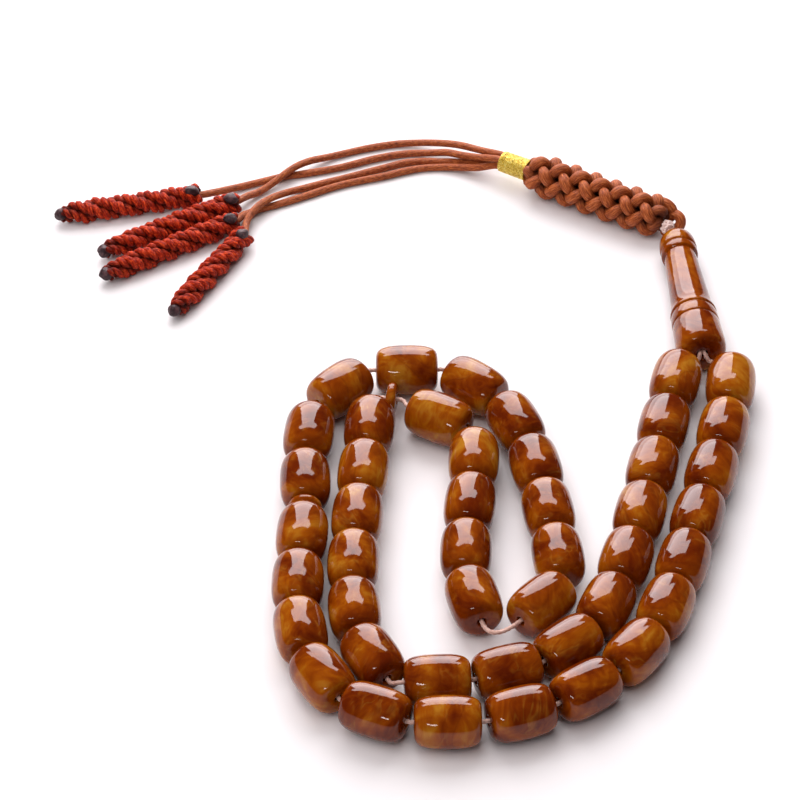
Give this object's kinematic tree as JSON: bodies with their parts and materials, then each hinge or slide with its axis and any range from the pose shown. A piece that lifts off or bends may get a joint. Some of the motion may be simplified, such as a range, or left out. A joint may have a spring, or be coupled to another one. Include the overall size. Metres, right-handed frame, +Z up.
{
  "type": "misbaha prayer beads",
  "caption": "Loop of barrel prayer beads on a string, with disc dividers, a long leader bead, a braid, a gold thread whipping and cord tassels that end in knotted sleeves.",
  "frame": {"origin": "on the table, under the middle of the footprint of the bead loop, imam and braid", "axes": "+Z up from the table, +Y from the bead loop towards the imam and braid, +X to the right seen from the loop's near end"},
  "size_m": [0.1654, 0.2101, 0.0117],
  "materials": {
    "amber_resin": "polished cast resin, orange-brown swirled with yellow and olive",
    "string_thread": "twisted rose-beige thread",
    "knot_thread": "pale pink thread, wound",
    "brown_cord": "satin rust-brown cord",
    "gold_thread": "metallic gold thread",
    "rust_cord": "matt rust-red knotted cord"
  },
  "bodies": {
    "strand": {"string": "string_thread", "string_knot": "knot_thread"},
    "bead_01": {"bead_01": "amber_resin"},
    "bead_02": {"bead_02": "amber_resin"},
    "bead_03": {"bead_03": "amber_resin"},
    "bead_04": {"bead_04": "amber_resin"},
    "bead_05": {"bead_05": "amber_resin"},
    "bead_06": {"bead_06": "amber_resin"},
    "bead_07": {"bead_07": "amber_resin"},
    "bead_08": {"bead_08": "amber_resin"},
    "bead_09": {"bead_09": "amber_resin"},
    "bead_10": {"bead_10": "amber_resin"},
    "bead_11": {"bead_11": "amber_resin"},
    "bead_12": {"bead_12": "amber_resin"},
    "bead_13": {"bead_13": "amber_resin"},
    "bead_14": {"bead_14": "amber_resin"},
    "bead_15": {"bead_15": "amber_resin"},
    "bead_16": {"bead_16": "amber_resin"},
    "bead_17": {"bead_17": "amber_resin"},
    "bead_18": {"bead_18": "amber_resin"},
    "bead_19": {"bead_19": "amber_resin"},
    "bead_20": {"bead_20": "amber_resin"},
    "bead_21": {"bead_21": "amber_resin"},
    "bead_22": {"bead_22": "amber_resin"},
    "bead_23": {"bead_23": "amber_resin"},
    "bead_24": {"bead_24": "amber_resin"},
    "bead_25": {"bead_25": "amber_resin"},
    "bead_26": {"bead_26": "amber_resin"},
    "bead_27": {"bead_27": "amber_resin"},
    "bead_28": {"bead_28": "amber_resin"},
    "bead_29": {"bead_29": "amber_resin"},
    "bead_30": {"bead_30": "amber_resin"},
    "bead_31": {"bead_31": "amber_resin"},
    "bead_32": {"bead_32": "amber_resin"},
    "bead_33": {"bead_33": "amber_resin"},
    "bead_34": {"bead_34": "amber_resin"},
    "bead_35": {"bead_35": "amber_resin"},
    "bead_36": {"bead_36": "amber_resin"},
    "bead_37": {"bead_37": "amber_resin"},
    "bead_38": {"bead_38": "amber_resin"},
    "bead_39": {"bead_39": "amber_resin"},
    "bead_40": {"bead_40": "amber_resin"},
    "bead_41": {"bead_41": "amber_resin"},
    "bead_42": {"bead_42": "amber_resin"},
    "bead_43": {"bead_43": "amber_resin"},
    "bead_44": {"bead_44": "amber_resin"},
    "bead_45": {"bead_45": "amber_resin"},
    "divider_1": {"divider_1": "amber_resin"},
    "divider_2": {"divider_2": "amber_resin"},
    "imam": {"imam": "amber_resin"},
    "tail": {"braid": "brown_cord", "gold_whipping": "gold_thread"},
    "tassel": {"tassel_cord_1": "brown_cord", "tassel_cord_2": "brown_cord", "tassel_cord_3": "brown_cord", "tassel_cord_4": "brown_cord"},
    "sleeve_1": {"tassel_sleeve_1": "rust_cord"},
    "sleeve_2": {"tassel_sleeve_2": "rust_cord"},
    "sleeve_3": {"tassel_sleeve_3": "rust_cord"},
    "sleeve_4": {"tassel_sleeve_4": "rust_cord"}
  },
  "joints": [
    {"name": "spin_bead_01", "type": "hinge", "parent": "strand", "child": "bead_01", "pos_m": [0.0363, 0.01443, 0.00575], "axis": [-0.2252, -0.9743, 0], "continuous": true},
    {"name": "spin_bead_02", "type": "hinge", "parent": "strand", "child": "bead_02", "pos_m": [0.03283, -0.00084, 0.00575], "axis": [-0.2184, -0.9759, 0], "continuous": true},
    {"name": "spin_bead_03", "type": "hinge", "parent": "strand", "child": "bead_03", "pos_m": [0.02959, -0.01524, 0.00575], "axis": [-0.2197, -0.9756, 0], "continuous": true},
    {"name": "spin_bead_04", "type": "hinge", "parent": "strand", "child": "bead_04", "pos_m": [0.02619, -0.03001, 0.00575], "axis": [-0.2302, -0.9732, 0], "continuous": true},
    {"name": "spin_bead_05", "type": "hinge", "parent": "strand", "child": "bead_05", "pos_m": [0.02244, -0.04473, 0.00575], "axis": [-0.2642, -0.9645, 0], "continuous": true},
    {"name": "spin_bead_06", "type": "hinge", "parent": "strand", "child": "bead_06", "pos_m": [0.01757, -0.05908, 0.00575], "axis": [-0.3784, -0.9256, 0], "continuous": true},
    {"name": "spin_bead_07", "type": "hinge", "parent": "strand", "child": "bead_07", "pos_m": [0.00886, -0.07138, 0.00575], "axis": [-0.7477, -0.664, 0], "continuous": true},
    {"name": "spin_bead_08", "type": "hinge", "parent": "strand", "child": "bead_08", "pos_m": [-0.00428, -0.07902, 0.00575], "axis": [-0.9463, -0.3234, 0], "continuous": true},
    {"name": "spin_bead_09", "type": "hinge", "parent": "strand", "child": "bead_09", "pos_m": [-0.01913, -0.08186, 0.00575], "axis": [-0.9989, -0.0477, 0], "continuous": true},
    {"name": "spin_bead_10", "type": "hinge", "parent": "strand", "child": "bead_10", "pos_m": [-0.0329, -0.07493, 0.00575], "axis": [-0.4486, 0.8937, 0], "continuous": true},
    {"name": "spin_bead_11", "type": "hinge", "parent": "strand", "child": "bead_11", "pos_m": [-0.03691, -0.06057, 0.00575], "axis": [-0.0814, 0.9967, 0], "continuous": true},
    {"name": "spin_bead_12", "type": "hinge", "parent": "strand", "child": "bead_12", "pos_m": [-0.03728, -0.04573, 0.00575], "axis": [0.0296, 0.9996, 0], "continuous": true},
    {"name": "spin_bead_13", "type": "hinge", "parent": "strand", "child": "bead_13", "pos_m": [-0.03652, -0.03096, 0.00575], "axis": [0.0732, 0.9973, 0], "continuous": true},
    {"name": "spin_bead_14", "type": "hinge", "parent": "strand", "child": "bead_14", "pos_m": [-0.03533, -0.01624, 0.00575], "axis": [0.0883, 0.9961, 0], "continuous": true},
    {"name": "spin_bead_15", "type": "hinge", "parent": "strand", "child": "bead_15", "pos_m": [-0.03397, -0.00154, 0.00575], "axis": [0.0956, 0.9954, 0], "continuous": true},
    {"name": "spin_bead_16", "type": "hinge", "parent": "strand", "child": "bead_16", "pos_m": [-0.01817, 0.00183, 0.00575], "axis": [0.8714, -0.4906, 0], "continuous": true},
    {"name": "spin_bead_17", "type": "hinge", "parent": "strand", "child": "bead_17", "pos_m": [-0.01048, -0.01246, 0.00575], "axis": [-0.0421, -0.9991, 0], "continuous": true},
    {"name": "spin_bead_18", "type": "hinge", "parent": "strand", "child": "bead_18", "pos_m": [-0.01154, -0.02723, 0.00575], "axis": [-0.1002, -0.995, 0], "continuous": true},
    {"name": "spin_bead_19", "type": "hinge", "parent": "strand", "child": "bead_19", "pos_m": [-0.01259, -0.04231, 0.00575], "axis": [-0.0363, -0.9993, 0], "continuous": true},
    {"name": "slide_bead_20", "type": "slide", "parent": "strand", "child": "bead_20", "axis": [0.2368, -0.9716, 0], "range_m": [0, 0.0005]},
    {"name": "slide_bead_21", "type": "slide", "parent": "strand", "child": "bead_21", "axis": [-0.6682, -0.744, 0], "range_m": [0, 0.0005]},
    {"name": "spin_bead_22", "type": "hinge", "parent": "strand", "child": "bead_22", "pos_m": [0.00758, -0.04376, 0.00575], "axis": [-0.1016, 0.9948, 0], "continuous": true},
    {"name": "spin_bead_23", "type": "hinge", "parent": "strand", "child": "bead_23", "pos_m": [0.00583, -0.02908, 0.00575], "axis": [-0.1356, 0.9908, 0], "continuous": true},
    {"name": "spin_bead_24", "type": "hinge", "parent": "strand", "child": "bead_24", "pos_m": [0.00339, -0.01447, 0.00575], "axis": [-0.1943, 0.9809, 0], "continuous": true},
    {"name": "spin_bead_25", "type": "hinge", "parent": "strand", "child": "bead_25", "pos_m": [-0.00087, 0, 0.00575], "axis": [-0.371, 0.9286, 0], "continuous": true},
    {"name": "spin_bead_26", "type": "hinge", "parent": "strand", "child": "bead_26", "pos_m": [-0.00999, 0.01286, 0.00575], "axis": [-0.7522, 0.659, 0], "continuous": true},
    {"name": "spin_bead_27", "type": "hinge", "parent": "strand", "child": "bead_27", "pos_m": [-0.02551, 0.01856, 0.00575], "axis": [-0.9999, -0.0152, 0], "continuous": true},
    {"name": "spin_bead_28", "type": "hinge", "parent": "strand", "child": "bead_28", "pos_m": [-0.04081, 0.0118, 0.00575], "axis": [-0.686, -0.7276, 0], "continuous": true},
    {"name": "spin_bead_29", "type": "hinge", "parent": "strand", "child": "bead_29", "pos_m": [-0.04768, -0.00365, 0.00575], "axis": [-0.0967, -0.9953, 0], "continuous": true},
    {"name": "spin_bead_30", "type": "hinge", "parent": "strand", "child": "bead_30", "pos_m": [-0.04823, -0.01939, 0.00575], "axis": [0.019, -0.9998, 0], "continuous": true},
    {"name": "spin_bead_31", "type": "hinge", "parent": "strand", "child": "bead_31", "pos_m": [-0.04864, -0.03686, 0.00575], "axis": [-0.063, -0.998, 0], "continuous": true},
    {"name": "spin_bead_32", "type": "hinge", "parent": "strand", "child": "bead_32", "pos_m": [-0.04931, -0.05194, 0.00575], "axis": [-0.0234, -0.9997, 0], "continuous": true},
    {"name": "spin_bead_33", "type": "hinge", "parent": "strand", "child": "bead_33", "pos_m": [-0.04844, -0.0668, 0.00575], "axis": [0.1405, -0.9901, 0], "continuous": true},
    {"name": "spin_bead_34", "type": "hinge", "parent": "strand", "child": "bead_34", "pos_m": [-0.04351, -0.08086, 0.00575], "axis": [0.5079, -0.8614, 0], "continuous": true},
    {"name": "spin_bead_35", "type": "hinge", "parent": "strand", "child": "bead_35", "pos_m": [-0.03223, -0.09083, 0.00575], "axis": [0.9171, -0.3987, 0], "continuous": true},
    {"name": "spin_bead_36", "type": "hinge", "parent": "strand", "child": "bead_36", "pos_m": [-0.01705, -0.09387, 0.00575], "axis": [0.9999, 0.0148, 0], "continuous": true},
    {"name": "spin_bead_37", "type": "hinge", "parent": "strand", "child": "bead_37", "pos_m": [-0.00165, -0.09126, 0.00575], "axis": [0.9488, 0.3158, 0], "continuous": true},
    {"name": "spin_bead_38", "type": "hinge", "parent": "strand", "child": "bead_38", "pos_m": [0.01225, -0.08414, 0.00575], "axis": [0.8111, 0.585, 0], "continuous": true},
    {"name": "spin_bead_39", "type": "hinge", "parent": "strand", "child": "bead_39", "pos_m": [0.02335, -0.07302, 0.00575], "axis": [0.5823, 0.813, 0], "continuous": true},
    {"name": "spin_bead_40", "type": "hinge", "parent": "strand", "child": "bead_40", "pos_m": [0.03041, -0.05954, 0.00575], "axis": [0.3393, 0.9407, 0], "continuous": true},
    {"name": "spin_bead_41", "type": "hinge", "parent": "strand", "child": "bead_41", "pos_m": [0.03489, -0.04541, 0.00575], "axis": [0.2654, 0.9642, 0], "continuous": true},
    {"name": "spin_bead_42", "type": "hinge", "parent": "strand", "child": "bead_42", "pos_m": [0.0388, -0.03119, 0.00575], "axis": [0.2651, 0.9642, 0], "continuous": true},
    {"name": "spin_bead_43", "type": "hinge", "parent": "strand", "child": "bead_43", "pos_m": [0.04273, -0.01644, 0.00575], "axis": [0.2488, 0.9686, 0], "continuous": true},
    {"name": "spin_bead_44", "type": "hinge", "parent": "strand", "child": "bead_44", "pos_m": [0.0462, -0.00207, 0.00575], "axis": [0.2213, 0.9752, 0], "continuous": true},
    {"name": "spin_bead_45", "type": "hinge", "parent": "strand", "child": "bead_45", "pos_m": [0.04891, 0.01334, 0.00575], "axis": [0.1221, 0.9925, 0], "continuous": true},
    {"name": "spin_divider_1", "type": "hinge", "parent": "strand", "child": "divider_1", "pos_m": [-0.02893, 0.00854, 0.00575], "axis": [0.9873, -0.1586, 0], "continuous": true},
    {"name": "spin_divider_2", "type": "hinge", "parent": "strand", "child": "divider_2", "pos_m": [-0.04813, -0.02814, 0.00575], "axis": [-0.0322, -0.9995, 0], "continuous": true},
    {"name": "spin_imam", "type": "hinge", "parent": "strand", "child": "imam", "pos_m": [0.04303, 0.02369, 0.00602], "axis": [-0.0873, 0.9956, -0.0332], "continuous": true},
    {"name": "bend_tail", "type": "hinge", "parent": "strand", "child": "tail", "pos_m": [0.03733, 0.07239, 0.0045], "axis": [0, 0, 1], "range_deg": [-50, 8]},
    {"name": "bend_tassel", "type": "hinge", "parent": "tail", "child": "tassel", "pos_m": [-0.00262, 0.09759, 0.0052], "axis": [0, 0, 1], "range_deg": [-16, 8]},
    {"name": "bend_sleeve_1", "type": "hinge", "parent": "tassel", "child": "sleeve_1", "pos_m": [-0.07587, 0.08669, 0.00295], "axis": [0, 0, 1], "range_deg": [-25, 8]},
    {"name": "bend_sleeve_2", "type": "hinge", "parent": "tassel", "child": "sleeve_2", "pos_m": [-0.06677, 0.08429, 0.00295], "axis": [0, 0, 1], "range_deg": [-6, 0]},
    {"name": "bend_sleeve_3", "type": "hinge", "parent": "tassel", "child": "sleeve_3", "pos_m": [-0.06677, 0.07659, 0.00295], "axis": [0, 0, 1], "range_deg": [0, 12]},
    {"name": "bend_sleeve_4", "type": "hinge", "parent": "tassel", "child": "sleeve_4", "pos_m": [-0.06457, 0.07109, 0.00295], "axis": [0, 0, 1], "range_deg": [-8, 25]}
  ]
}
